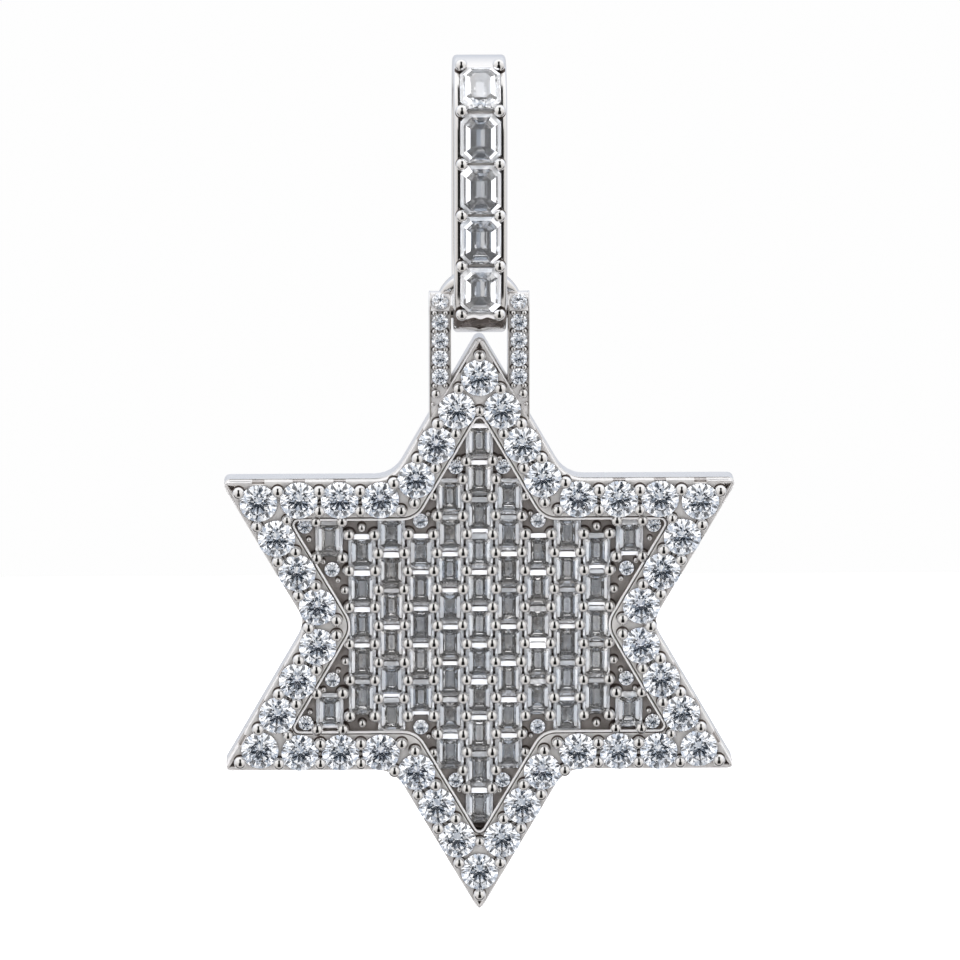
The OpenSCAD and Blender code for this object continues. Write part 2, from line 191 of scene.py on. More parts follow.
def makePiece(name, shape, finish, body, smoothDeg=None, stands=(), weighted=False):
    # `finish` names the piece's looks, and a face without a mark has the first
    mesh = bpy.data.meshes.new(name)
    mesh.from_pydata([tuple(c * mm for c in p) for p in shape["points"]], [], shape["faces"])
    for look in finish:
        mesh.materials.append(looks[look])
    marks = [finish.index(mark) if mark else 0 for mark in shape["marks"]]
    mesh.polygons.foreach_set("material_index", marks)
    work = bmesh.new()
    work.from_mesh(mesh)
    bmesh.ops.recalc_face_normals(work, faces=work.faces)
    work.to_mesh(mesh)
    work.free()
    if smoothDeg:
        mesh.shade_smooth()
        mesh.set_sharp_from_angle(angle=math.radians(smoothDeg))
    piece = bpy.data.objects.new(name, mesh)
    bpy.context.scene.collection.objects.link(piece)
    if weighted:
        even = piece.modifiers.new("evenShading", "WEIGHTED_NORMAL")
        even.keep_sharp = True
    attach(piece, body)
    if stands:
        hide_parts(*stands)


def newMaterial(name):
    material = bpy.data.materials.new(name)
    material.use_nodes = True
    tree = material.node_tree
    return material, tree, tree.nodes["Principled BSDF"]


def setInputs(node, values):
    for name, value in values.items():
        node.inputs[name].default_value = value
    return node


def twoTones(tree, ends, tones):
    ramp = tree.nodes.new("ShaderNodeValToRGB")
    for point, at, tone in zip(ramp.color_ramp.elements, ends, tones):
        point.position, point.color = at, tone
    return ramp


metalLook = {
    "colour": (0.90, 0.895, 0.89, 1),
    "paintedShade": (0.42, 0.38, 0.36, 1),   # painted shade: the colour that corners darken to
    "shadeRamp": (0.15, 0.75),
    "cornerReach": 0.5,               # millimetres
    "cornerRays": 4,
    "metallic": 1.0,
    "roughness": 0.06,
    "roughnessSpread": (0.7, 1.5),
    "grain": 0.02,
    "grainScale": 900,
    "grainDetail": 3,
    "grainDeep": 0.2,
}
finishes = {
    "bright": {},
    "satin": {"colour": (0.95, 0.935, 0.92, 1), "paintedShade": (0.6, 0.565, 0.54, 1),
              "roughness": 0.54, "metallic": 0.78},
    "dome": {"roughness": 0.14},
    # painted shade: a recess finish whose colour darkens strongly and far into corners
    "recess": {"colour": (0.88, 0.84, 0.82, 1), "paintedShade": (0.25, 0.215, 0.2, 1),
               "roughness": 0.5, "cornerReach": 0.8, "metallic": 0.94},
    "seat": {"paintedShade": (0.84, 0.825, 0.81, 1), "roughness": 0.25},
    "frost": {"colour": (0.97, 0.96, 0.955, 1), "paintedShade": (0.68, 0.655, 0.64, 1),
              "roughness": 0.5, "metallic": 0.66},
    # painted shade and dark reflection: a dark metal for a hole's shaded floor and a band on the bail
    "underside": {"colour": (0.2, 0.17, 0.155, 1), "paintedShade": (0.16, 0.13, 0.12, 1),
                  "roughness": 0.25},
    # painted shadow: a dark metal for the rings under balls, the gap by the rim and a hole's shadowed
    # wall
    "groove": {"colour": (0.2, 0.165, 0.15, 1), "paintedShade": (0.1, 0.08, 0.07, 1),
               "roughness": 0.5},
}


def makeMetal(name, look):
    material, tree, shader = newMaterial(name)
    new, link = tree.nodes.new, tree.links.new
    shader.inputs["Metallic"].default_value = look["metallic"]
    # painted shade: ambient occlusion darkens the base colour towards the look's painted shade in
    # corners and recesses
    corner = setInputs(new("ShaderNodeAmbientOcclusion"), {"Distance": look["cornerReach"] * mm})
    corner.samples = look["cornerRays"]
    ramp = twoTones(tree, look["shadeRamp"], (look["paintedShade"], look["colour"]))
    link(corner.outputs["AO"], ramp.inputs["Fac"])
    link(ramp.outputs["Color"], shader.inputs["Base Color"])
    place = new("ShaderNodeTexCoord")
    grain = setInputs(new("ShaderNodeTexNoise"),
                      {"Scale": look["grainScale"], "Detail": look["grainDetail"]})
    link(place.outputs["Object"], grain.inputs["Vector"])
    least, most = look["roughnessSpread"]
    sheen = setInputs(new("ShaderNodeMapRange"),
                      {"To Min": look["roughness"] * least, "To Max": look["roughness"] * most})
    link(grain.outputs["Fac"], sheen.inputs["Value"])
    link(sheen.outputs["Result"], shader.inputs["Roughness"])
    bump = setInputs(new("ShaderNodeBump"),
                     {"Strength": look["grain"], "Distance": look["grainDeep"] * mm})
    link(grain.outputs["Fac"], bump.inputs["Height"])
    link(bump.outputs["Normal"], shader.inputs["Normal"])
    return material


stoneLook = {
    "colour": (1.0, 1.0, 1.0, 1),
    "tint": (0.975, 0.985, 1.0, 1),   # the colour of some stones and parts of stones
    "tintRamp": (0.4, 0.6),
    "tintScale": 380,
    "tintDetail": 1,
    "ior": 2.42,
    "roughness": 0.0,
    "clear": 1.0,
}
cuts = {
    "clearStone": {},
    "stepStone": {"clear": 0.93, "colour": (1.0, 0.98, 0.95, 1), "tint": (0.98, 0.99, 1.0, 1)},
    "emeraldStone": {"clear": 0.925},
    # painted light: a step cut's outer facets, partly milky so they show the room's light
    "milkyStone": {"clear": 0.6, "colour": (0.975, 0.975, 0.98, 1), "tint": (0.93, 0.965, 1.0, 1)},
    # painted highlight: a crown facet made opaque and nearly white, as if turned to the light
    "litFacet": {"clear": 0.0, "ior": 1.5, "roughness": 0.35,
                 "colour": (0.98, 0.98, 0.99, 1), "tint": (0.93, 0.95, 0.98, 1)},
}


def makeStone(name, look):
    material, tree, shader = newMaterial(name)
    new, link = tree.nodes.new, tree.links.new
    setInputs(shader, {"Roughness": look["roughness"], "IOR": look["ior"],
                       "Transmission Weight": look["clear"]})
    place = new("ShaderNodeTexCoord")
    spread = setInputs(new("ShaderNodeTexNoise"),
                       {"Scale": look["tintScale"], "Detail": look["tintDetail"]})
    link(place.outputs["Object"], spread.inputs["Vector"])
    ramp = twoTones(tree, look["tintRamp"], (look["colour"], look["tint"]))
    link(spread.outputs["Fac"], ramp.inputs["Fac"])
    link(ramp.outputs["Color"], shader.inputs["Base Color"])
    return material


for name, finish in finishes.items():
    looks[name] = makeMetal(name + "Metal", dict(metalLook, **finish))
for name, cut in cuts.items():
    looks[name] = makeStone(name, dict(stoneLook, **cut))
print("materials made")


def inStar(x, z, y=0.0):
    return Matrix.Translation(starMid + Vector((x, y, z)))


def atTip(p, k):
    # a point given for the upper tip, moved to tip k, counted with the clock
    return spun(p, -math.radians(60 * k))


def roundedCorner(a, v, b, r, steps=6):
    a, v, b = Vector(a), Vector(v), Vector(b)
    ua, ub = (a - v).normalized(), (b - v).normalized()
    half = math.acos(max(-1, min(1, ua.dot(ub)))) / 2
    c = v + (ua + ub).normalized() * r / math.sin(half)
    p, q = v + ua * r / math.tan(half) - c, v + ub * r / math.tan(half) - c
    turn = math.atan2(p.x * q.y - p.y * q.x, p.dot(q))
    return [tuple(c + Vector(spun(p, turn * i / steps))) for i in range(steps + 1)]


def starLoop(tip, tipRound, notchRound):
    def corner(i):
        reach = tip if i % 2 == 0 else tip / math.sqrt(3)
        a = math.radians(30 * i)
        return (reach * math.sin(a), reach * math.cos(a))
    points = []
    for i in range(12):
        r = tipRound if i % 2 == 0 else notchRound
        points += roundedCorner(corner(i - 1), corner(i), corner(i + 1), r)
    return points


def onEdge(s, side=0.0):
    # s along the stones' line from the upper tip, and how far outside it
    return (0.5 * s + side * cos30, plan["tipReach"] - s * cos30 + side * 0.5)


borderPlaces = []
for k in range(6):
    borderPlaces.append(atTip((0, plan["tipStone"]), k))
    for m in (-1, 1):
        for spot in plan["borderSpots"]:
            x, z = onEdge(spot, plan["borderSide"])
            borderPlaces.append(atTip((m * x, z), k))

starShape = {
    "outerTip": plan["tipReach"] + 2 * plan["outerMargin"],
    "pocketTip": plan["tipReach"] - 2 * plan["innerMargin"],
    "tipRound": 0.42,
    "notchRound": 2.5,
    "pocketTipRound": 0.6,
    "pocketNotchRound": 1.7,
    # how rounded the rims are
    "frontEdge": 0.06,
    "wallEdge": 0.03,
    "backEdge": 0.16,
    "sharp": 0.01,
    "seam": 0.001,
    # the stones' seats, wide in front and narrow behind
    "seatRadius": 1.37,
    "seatDepth": 0.75,
    "lowerSeat": 1.2,
    "lowerDepth": 1.6,
    "slotAt": [5.02, 8.19],
    "slotWide": 0.13,
    "slotLong": 0.7,
    # the notches
    "edgeLong": 4,        # an outline's piece that is longer is a straight edge
    "edgeUp": 0.3,        # and one that leans up more than this is notched
    "seatNear": 2,        # a seat within this reach belongs to the edge
    "seatFromEnd": 0.7,
    "blindFrom": 0.25,    # more metal than this before a seat keeps its notch blind
    "notchWide": 0.95,
    "notchDeep": 0.24,
    "notchFloor": 0.3,
    "floorMargin": 0.04,
    "notchSteps": 32,
    "flare": 0.05,        # how far the wall stands out behind the notches
    "backOut": 0.1,       # how far the back stands out behind the solid's
    "tipHole": (22.66, 22.15, 0.24),   # top, bottom and half width of the dark corner at each tip
    # the field's thin rim: where it starts and ends over the pocket, and its height and depth
    "lip": (0.08, 0.25),
    "lipHigh": 0.07,
    "lipDeep": 0.24,
    "lipEdge": 0.07,
    "lipUnder": 0.05,
    "overlap": 0.01,
    # the rims of the tips: their six ends, width, depth and inner corner
    "rimEnds": [6.3, 2.35, 2.35, 2.35, 2.35, 2.35],
    "rimWide": 0.13,
    "rimDeep": 0.2,
    "rimCorner": 0.12,
    "rimEdge": 0.045,
}


def borderSlots():
    s = starShape
    slots = []
    for k in range(6):
        for m in (-1, 1):
            for spot in s["slotAt"]:
                x, z = onEdge(spot)
                cx, cz = atTip((m * x, z), k)
                turn = -math.radians(m * 30 + 60 * k)
                slots.append(boxLoop(cx, cz, s["slotLong"], s["slotWide"], turn))
    return slots


def fromSeat(c, t, n, spots):
    # points given as (along the edge, out of the star) from the seat's middle
    return [tuple(c + t * a + n * b) for a, b in spots]


def notchedOutline(outline):
    # on the edges that look up, a notch opens each seat to the outside
    s = starShape
    h, r, m = s["notchWide"] / 2, s["seatRadius"], s["floorMargin"]
    half = math.asin(h / r)
    bends = [half + 2 * (math.pi - half) * k / s["notchSteps"] for k in range(s["notchSteps"] + 1)]
    seatArc = [(-r * math.sin(a), r * math.cos(a)) for a in bends]
    reach = plan["tipReach"] / 2 + plan["outerMargin"]
    notched, opened, floors = [], set(), []
    for i, p in enumerate(outline):
        notched.append(p)
        p, q = Vector(p), Vector(outline[(i + 1) % len(outline)])
        t = (q - p).normalized()
        n = Vector((t.y, -t.x))
        if (q - p).length < s["edgeLong"] or n.y < s["edgeUp"]:
            continue
        first, last = t.dot(p) + s["seatFromEnd"], t.dot(q) - s["seatFromEnd"]
        for j in sorted(range(len(borderPlaces)), key=lambda j: t.dot(Vector(borderPlaces[j]))):
            c = Vector(borderPlaces[j])
            gap = reach - n.dot(c)
            if gap > s["seatNear"] or not first < t.dot(c) < last:
                continue
            foot = gap - s["notchDeep"]
            low, high = max(r, foot) - m, gap - m
            corners = [(-h - m, high), (-h - m, low), (h + m, low), (h + m, high)]
            floors.append(fromSeat(c, t, n, corners))
            if gap - r > s["blindFrom"]:      # the tips' own stones
                notched += fromSeat(c, t, n, [(-h, gap), (-h, foot), (h, foot), (h, gap)])
            else:
                opened.add(j)
                notched += fromSeat(c, t, n, [(-h, gap)] + seatArc + [(h, gap)])
    return notched, opened, floors


def tipRims(shape, place):
    s = starShape
    tip, wide = (0, s["outerTip"]), s["rimWide"]
    front, back = plan["face"] - s["lipHigh"], plan["face"] + s["rimDeep"]
    for k, end in enumerate(s["rimEnds"]):
        x, z = end * 0.5, s["outerTip"] - end * cos30
        left, right = (-x, z), (x, z)
        bend = roundedCorner(left, tip, right, s["tipRound"])
        x, z = x - wide * cos30, z - wide * 0.5
        inLeft, inRight = (-x, z), (x, z)
        inBend = roundedCorner(inLeft, (0, s["outerTip"] - 2 * wide), inRight, s["rimCorner"])
        loop = [left] + bend + [right, inRight] + inBend[::-1] + [inLeft]
        slab(shape, [atTip(p, k) for p in loop], [], front, back, s["rimEdge"],
             place=place, mark="frost")


def starMetal(shape):
    s = starShape
    place = inStar(0, 0)
    face = plan["face"]
    behind, deep = face + s["seatDepth"], face + s["lowerDepth"]
    outline = turned(starLoop(s["outerTip"], s["tipRound"], s["notchRound"]))
    pocket = turned(starLoop(s["pocketTip"], s["pocketTipRound"], s["pocketNotchRound"]))
    notched, opened, floors = notchedOutline(outline)
    seats = [circleLoop(*c, s["seatRadius"]) for j, c in enumerate(borderPlaces) if j not in opened]
    lower = [circleLoop(*c, s["lowerSeat"], 24) for c in borderPlaces]
    top, bottom, wide = s["tipHole"]
    hole = ((0, top), (wide, bottom), (-wide, bottom))
    tipHoles = [[atTip(p, k) for p in hole] for k in range(6)]
    cuts = [pocket] + seats + borderSlots() + tipHoles
    slab(shape, notched, cuts, face, behind, s["frontEdge"], 2, place=place)
    for loop in floors:
        slab(shape, loop, [], face + s["notchFloor"], behind, s["sharp"], 1, place=place, mark="recess")
    wall = insetLoop(outline, -s["flare"])
    slab(shape, wall, [pocket] + lower, behind, deep, s["wallEdge"], 1, place=place, mark="seat")
    slab(shape, wall, [pocket], deep, plan["back"] + s["backOut"], s["seam"], 1,
         backEdge=s["backEdge"], place=place, mark="seat")
    # the thin polished rim round the sunk field, hanging a little over it
    start, stop = s["lip"]
    slab(shape, insetLoop(pocket, start), [insetLoop(pocket, stop)], face - s["lipHigh"],
         face + s["lipDeep"], s["lipEdge"], backEdge=s["wallEdge"], place=place, mark="frost")
    # painted shadow: a dark ring in the gap between the pocket's edge and the rim
    slab(shape, insetLoop(pocket, -s["overlap"]), [insetLoop(pocket, start - s["overlap"])],
         face + s["lipUnder"], face + s["lipDeep"], s["sharp"], 1, place=place, mark="groove")
    tipRims(shape, place)
    return pocket


def insideStar(x, z, reach):
    def across(degrees):
        return x * math.sin(math.radians(degrees)) - z * math.cos(math.radians(degrees))
    return any(max(across(a + way) for a in (0, 120, 240)) < reach for way in (0, 180))


fieldShape = {
    "columnPitch": 2.29, "rowPitch": 2.93,
    "counts": [11, 8, 5, 6, 5],       # baguettes in a column, from the middle one out
    "sideColumn": 11.72, "sideRow": 6.92,
    "width": 2.12, "length": 2.84, "cut": 0.3, "lift": 0.2,
    "rounds": [(1.85, 12.62), (4.58, 8.3), (13.6, 7.92), (11.5, 4.44)],
    "roundSize": 1.16,
    # the plate under the border, its skin darkened with painted shade, and its seats
    "under": 0.15,
    "skin": 0.1,
    "skinEdge": 0.05,
    "seatDepth": 0.87,
    "seatLip": 0.2,
    "roundLip": 0.05,
    # a blind hole in the lowest corner, painted as two flat discs, a dark one for its shadowed wall and
    # a grey one for its shaded floor: height, radius, before the plate, behind it, finish
    "paintedHole": [(-16.42, 0.47, 0.03, 0.05, "groove"), (-16.49, 0.38, 0.05, 0.0, "underside")],
    # the balls at the baguettes' corners
    "beadSide": 1.0, "beadRadius": 0.5, "beadLift": 0.34, "beadStem": 0.17,
    "beadSpread": (0.95, 1.04), "beadStray": 0.03, "beadFromRim": 0.05,
    "beadStemMost": 0.8,              # of a small ball's radius
    "beadShadowRing": 1.1, "shadowRingHigh": 0.03, "shadowRingLow": 0.02, "smallBead": 0.3,
    "cornerBeads": [(9.16, 7.9, 0.34), (10.5, 2.84, 0.34), (3.58, 10.29, 0.36), (12.2, 5.15, 0.2),
                    (11.05, 3.65, 0.2), (13.3, 6.95, 0.2), (4, 8.95, 0.18), (1.6, 13.35, 0.2)],
}
quadrants = [(x, z) for x in (-1, 1) for z in (-1, 1)]
columns = [(c * fieldShape["columnPitch"], fieldShape["counts"][abs(c)]) for c in range(-4, 5)]
baguettePlaces = [(x, (i - (n - 1) / 2) * fieldShape["rowPitch"])
                  for x, n in columns for i in range(n)]
baguettePlaces += [(x * fieldShape["sideColumn"], z * fieldShape["sideRow"]) for x, z in quadrants]
roundPlaces = [(x * p[0], z * p[1]) for x, z in quadrants for p in fieldShape["rounds"]]


def fieldMetal(shape, pocket):
    f = fieldShape
    place = inStar(0, 0)
    sharp, seam = starShape["sharp"], starShape["seam"]
    front = plan["plate"]
    under, deep = front + f["skin"], front + f["seatDepth"]
    plate = insetLoop(pocket, -f["under"])
    w, h = f["width"] - f["seatLip"], f["length"] - f["seatLip"]
    holes = [boxLoop(x, z, w, h) for x, z in baguettePlaces]
    holes += [circleLoop(x, z, f["roundSize"] / 2 - f["roundLip"], 20) for x, z in roundPlaces]
    slab(shape, plate, holes, front, under, f["skinEdge"], 2, place=place, mark="recess")
    slab(shape, plate, holes, under, deep, sharp, 1, place=place, mark="seat")
    slab(shape, plate, [], deep, plan["plateBack"], seam, 1, place=place, mark="seat")
    # painted shade: the hole is only two flat discs lying on the plate
    for z, r, before, behind, finish in f["paintedHole"]:
        slab(shape, circleLoop(0, z, r), [], front - before, front + behind, sharp, 1,
             place=place, mark=finish)


prongShape = {
    "radius": 0.49, "stem": 0.3, "lift": 0.55, "tip": 21.66,
    # outside and inside the stones' line: how far from it, and where along it
    "rows": [(0.83, [1.78, 5.02, 8.19]), (-0.74, [5.02, 8.19])],
    "crotch": 17.32, "crotchRadius": 0.42, "crotchStem": 0.14, "crotchLift": 0.6,
    "notchIn": (11.17, 0.6), "notchOut": 13.35,
    "spread": (0.96, 1.04), "shadowRing": 1.05,
}


def starProngs(shape):
    g = prongShape
    usual = (g["radius"], g["stem"], g["lift"])
    spots = []
    for k in range(6):
        spots.append((atTip((0, g["tip"]), k), *usual))
        spots.append((atTip((0, g["crotch"]), k), g["crotchRadius"], g["crotchStem"], g["crotchLift"]))
        spots.append((atTip((g["notchOut"] * 0.5, g["notchOut"] * cos30), k), *usual))
        for m in (-1, 1):
            for side, row in g["rows"]:
                for s in row:
                    x, z = onEdge(s, side)
                    spots.append((atTip((m * x, z), k), *usual))
            u, v = g["notchIn"]
            x, z = u * 0.5 - v * cos30, u * cos30 + v * 0.5
            spots.append((atTip((m * x, z), k), *usual))
    for (x, z), r, stem, lift in spots:
        r *= random.uniform(*g["spread"])
        place = inStar(x, z, plan["face"])
        # a painted shadow ring under each ball
        shadowRing(shape, place, r * g["shadowRing"])
        ballOnStem(shape, place, r, stem, lift)


def fieldBeads(shape):
    f = fieldShape
    across, up = f["beadSide"], f["rowPitch"]
    spots = [(x + m * across, (i - n / 2) * up)
             for x, n in columns for i in range(n + 1) for m in (-1, 1)]
    spots += [(x * f["sideColumn"] + m * across, z * f["sideRow"] + n * up / 2)
              for x, z in quadrants for m, n in quadrants]
    reach = starShape["pocketTip"] / 2 - starShape["lip"][1] - f["beadFromRim"]
    beads = [(x, z, f["beadRadius"]) for x, z in spots if insideStar(x, z, reach)]
    beads += [(x * p[0], z * p[1], p[2]) for x, z in quadrants for p in f["cornerBeads"]]
    for x, z, r in beads:
        r *= random.uniform(*f["beadSpread"])
        x += random.uniform(-f["beadStray"], f["beadStray"])
        z += random.uniform(-f["beadStray"], f["beadStray"])
        place = inStar(x, z, plan["plate"])
        # a painted shadow ring under each bead
        high = f["shadowRingHigh"] if r > f["smallBead"] else f["shadowRingLow"]
        stem = min(f["beadStem"], r * f["beadStemMost"])
        shadowRing(shape, place, r * f["beadShadowRing"], high)
        ballOnStem(shape, place, r, stem, f["lift"] + f["beadLift"], sides=18, rings=10)


earShape = {
    "inner": 2.2, "outer": 3.9, "top": 25.15, "foot": 15.9, "round": 1.3,
    "firstRow": 24.26, "rows": 4, "pitch": 1.44, "turn": 31,
    "stone": 1.28, "stoneLift": 0.09, "lean": 2,
    "seat": 0.57, "seatDepth": 0.65,
    # the core, inside the two polished rails
    "coreRound": 1.27, "coreBend": 60, "coreIn": 0.05, "coreEdge": 0.02,
    "rail": 0.17, "railHigh": 0.12, "railEdge": 0.08,
    "footGap": 0.05,      # between the border and what stands on it
    # the plates with the seats: their width beyond the rails' inside, how far the lower one
    # goes over its last stone, and the upper one's middle and height
    "plateOver": 0.03, "plateTop": 0.72, "leaningPlate": (0.02, 1.4), "plateEdge": 0.03,
    "grain": 0.2, "grainSide": 0.42, "grainStem": 0.14, "grainLift": 0.1,
    "grainShadowRing": 1.3, "grainShadowRingHigh": -0.09,
    # two more grains at the foot: how far outside the ear's middle, height and radius
    "footGrains": [(0.31, 18.59, 0.38), (0.55, 17.75, 0.17)], "footStem": 0.65, "footLift": 0.08,
}
earMid = (earShape["inner"] + earShape["outer"]) / 2


def earPlaces(side):
    e = earShape
    x = side * earMid
    spots = [inStar(x, e["firstRow"] - i * e["pitch"], -e["round"]) for i in range(e["rows"])]
    top = inStar(x, e["top"]) @ Matrix.Rotation(-math.radians(e["turn"]), 4, "X")
    return spots + [top @ Matrix.Translation((0, -e["round"], 0))]


def earOutline(front, back, foot, bend=0):
    # front and back faces in Y, and a round top that ends at the angle `bend` before the front
    top = earShape["top"]
    turns = [math.radians(a) for a in range(0, 181 - bend, 6)]
    points = [(-front, foot), (back, foot)]
    points += [(back * math.cos(t), top + back * math.sin(t)) for t in turns]
    if bend:
        t = math.radians(bend)
        points += [(-front * math.cos(t), top + front * math.sin(t)), (-front, top)]
    return points


def borderTop(x):
    # the height at which the ears' metal starts above the border
    return starShape["outerTip"] - math.sqrt(3) * x - earShape["footGap"]


def earMetal(shape):
    e = earShape
    # a slab lies in X and Z with Y as its depth, so the ear's sides are laid out turned
    sideways = Matrix(((0, 1, 0, 0), (1, 0, 0, 0), (0, 0, 1, 0), (0, 0, 0, 1)))
    half = (e["outer"] - e["inner"]) / 2
    front = e["round"] - e["railHigh"]
    deep = front - e["seatDepth"]
    inside = half - e["rail"] + e["plateOver"]
    for side in (-1, 1):
        mid = side * earMid
        place = inStar(mid, 0) @ sideways
        core = earOutline(deep, e["coreRound"], e["foot"], e["coreBend"])
        slab(shape, core, [], e["coreIn"] - half, half - e["coreIn"], e["coreEdge"], 1,
             backEdge=e["coreEdge"], place=place, mark="seat")
        for m in (-1, 1):
            low, high = sorted((m * half, m * (half - e["rail"])))
            foot = borderTop(max(abs(mid + low), abs(mid + high)))
            slab(shape, earOutline(e["round"], e["round"], foot), [], low, high, e["railEdge"], 4,
                 backEdge=e["railEdge"], place=place, mark="dome")
        seats = [circleLoop(0, e["firstRow"] - i * e["pitch"], e["seat"], 20) for i in range(e["rows"])]
        left, right = borderTop(abs(mid - inside)), borderTop(abs(mid + inside))
        top = e["firstRow"] + e["plateTop"]
        plate = [(-inside, left), (inside, right), (inside, top), (-inside, top)]
        slab(shape, plate, seats, -front, -deep, e["plateEdge"], 2, place=inStar(mid, 0), mark="frost")
        # the upper plate leans back
        z, tall = e["leaningPlate"]
        slab(shape, boxLoop(0, z, 2 * inside, tall), [circleLoop(0, 0, e["seat"], 20)], e["railHigh"],
             e["round"] - deep, e["plateEdge"], 2, place=earPlaces(side)[-1], mark="frost")


def earGrains(shape):
    e = earShape
    for side in (-1, 1):
        mid = side * earMid
        for i in range(e["rows"] + 1):
            for x in (-e["grainSide"], e["grainSide"]):
                place = inStar(mid + x, e["firstRow"] + (0.5 - i) * e["pitch"], -e["round"])
                ballOnStem(shape, place, e["grain"], e["grainStem"], e["grainLift"])
                # a painted shadow ring under each grain
                shadowRing(shape, place, e["grain"] * e["grainShadowRing"], e["grainShadowRingHigh"])
        for out, z, r in e["footGrains"]:
            place = inStar(mid + side * out, z, -e["round"])
            ballOnStem(shape, place, r, r * e["footStem"], e["footLift"])


archShape = {
    "radius": 3.45, "thick": 0.95, "deep": 2.0, "round": 0.36,
    "setBack": 0.6,
    "setBackEase": (2.3, 2.6),    # full up to half the arch's height, none near its top
    "steps": 48,
}


def archMetal(shape):
    a = archShape
    r = a["round"]
    w, h = a["deep"] / 2 - r, a["thick"] / 2 - r
    section = []
    for cx, cy, start in ((w, h, 0), (-w, h, 90), (-w, -h, 180), (w, -h, 270)):
        bends = [math.radians(start + 22.5 * i) for i in range(5)]
        section += [(cx + r * math.cos(t), cy + r * math.sin(t)) for t in bends]
    n, steps = len(section), a["steps"]
    points, faces = [], []
    for k in range(steps + 1):
        t = math.pi * k / steps
        # nearer the ears the arch starts further back
        full, rate = a["setBackEase"]
        low = max(0.0, min(1.0, full - rate * math.sin(t)))
        for y, d in section:
            y += a["setBack"] * low * (0.5 - y / a["deep"])
            out = a["radius"] - a["thick"] / 2 + d
            points.append((out * math.cos(t), y, out * math.sin(t)))
    for k in range(steps):
        faces += ringFaces(k * n, (k + 1) * n, n)
    faces += [tuple(range(n)), tuple(range(steps * n, steps * n + n))]
    put(shape, points, faces, Matrix.Translation((0, 0, plan["pinZ"])), "dome")


metal = newShape()
pocket = starMetal(metal)
fieldMetal(metal, pocket)
earMetal(metal)
archMetal(metal)
makePiece("starMetal", metal, ["satin", "recess", "dome", "seat", "groove", "frost", "underside"],
          "star", smoothDeg=40, stands=["star_frame"], weighted=True)
prongs = newShape()
starProngs(prongs)
fieldBeads(prongs)
earGrains(prongs)
makePiece("starProngs", prongs, ["bright", "groove"], "star", smoothDeg=50)
print("star metal made")


def brilliantMesh(d, table=0.57, crown=34.0, pavilion=41.0, lowerHalf=0.28, starShare=0.5,
                  girdle=0.0175, fine=4):
    # shares of the radius, and angles in degrees; a facet meets the girdle with `fine` edges
    r = d / 2
    halfGirdle = girdle * r
    steepUp, steepDown = math.tan(math.radians(crown)), math.tan(math.radians(pavilion))
    inner = table * math.cos(math.radians(22.5))
    starR = inner + starShare * (1 - inner)
    points, faces = [], []

    def add(rad, deg, y):
        a = math.radians(deg)
        points.append((rad * r * math.cos(a), y, rad * r * math.sin(a)))
        return len(points) - 1

    def crownY(rad, off):
        return -halfGirdle - (1 - rad * math.cos(math.radians(off))) * steepUp * r

    def pavilionY(rad, off):
        return halfGirdle + (1 - rad * math.cos(math.radians(off))) * steepDown * r

    def planeY(a, b, c, x, z):
        pa, pb, pc = Vector(points[a]), Vector(b), Vector(c)
        n = (pb - pa).cross(pc - pa)
        return pa.y - (n.x * (x - pa.x) + n.z * (z - pa.z)) / n.y
    tab = [add(table, 45 * k, crownY(table, 0)) for k in range(8)]
    mid = [add(starR, 45 * k + 22.5, crownY(starR, 22.5)) for k in range(8)]
    low = [add(lowerHalf, 45 * k + 22.5, pavilionY(lowerHalf, 22.5)) for k in range(8)]
    point = add(0, 0, pavilionY(0, 0))
    # the girdle is a circle, and each facet beside it meets it in a shallow curve
    corners = circleLoop(0, 0, r, 16)
    rims = []
    for near, y in ((mid, -halfGirdle), (low, halfGirdle)):
        rim = []
        for k in range(16):
            (ax, az), (bx, bz) = corners[k], corners[(k + 1) % 16]
            for j in range(fine):
                deg = 22.5 * (k + j / fine)
                x, z = r * math.cos(math.radians(deg)), r * math.sin(math.radians(deg))
                curve = planeY(near[k // 2], (ax, y, az), (bx, y, bz), x, z) if j else y
                rim.append(add(1, deg, curve))
        rims.append(rim)
    top, bottom = rims
    m = len(top)
    faces.append(tuple(tab))
    for k in range(8):
        n = (k + 1) % 8
        faces.append((tab[k], tab[n], mid[k]))
        faces.append((tab[k], mid[k], top[2 * fine * k], mid[k - 1]))
        faces.append((point, low[k - 1], bottom[2 * fine * k], low[k]))
        for half in (0, 1):
            start = (2 * k + half) * fine
            faces.append(tuple([mid[k]] + [top[(start + j) % m] for j in range(fine + 1)]))
            faces.append(tuple([low[k]] + [bottom[(start + j) % m] for j in range(fine + 1)]))
    return points, faces + ringFaces(top[0], bottom[0], m)


# the eight facets of a step cut's ring
longSides, cornerSides, upperEnd, lowerEnd = (0, 4), (1, 3, 5, 7), 2, 6


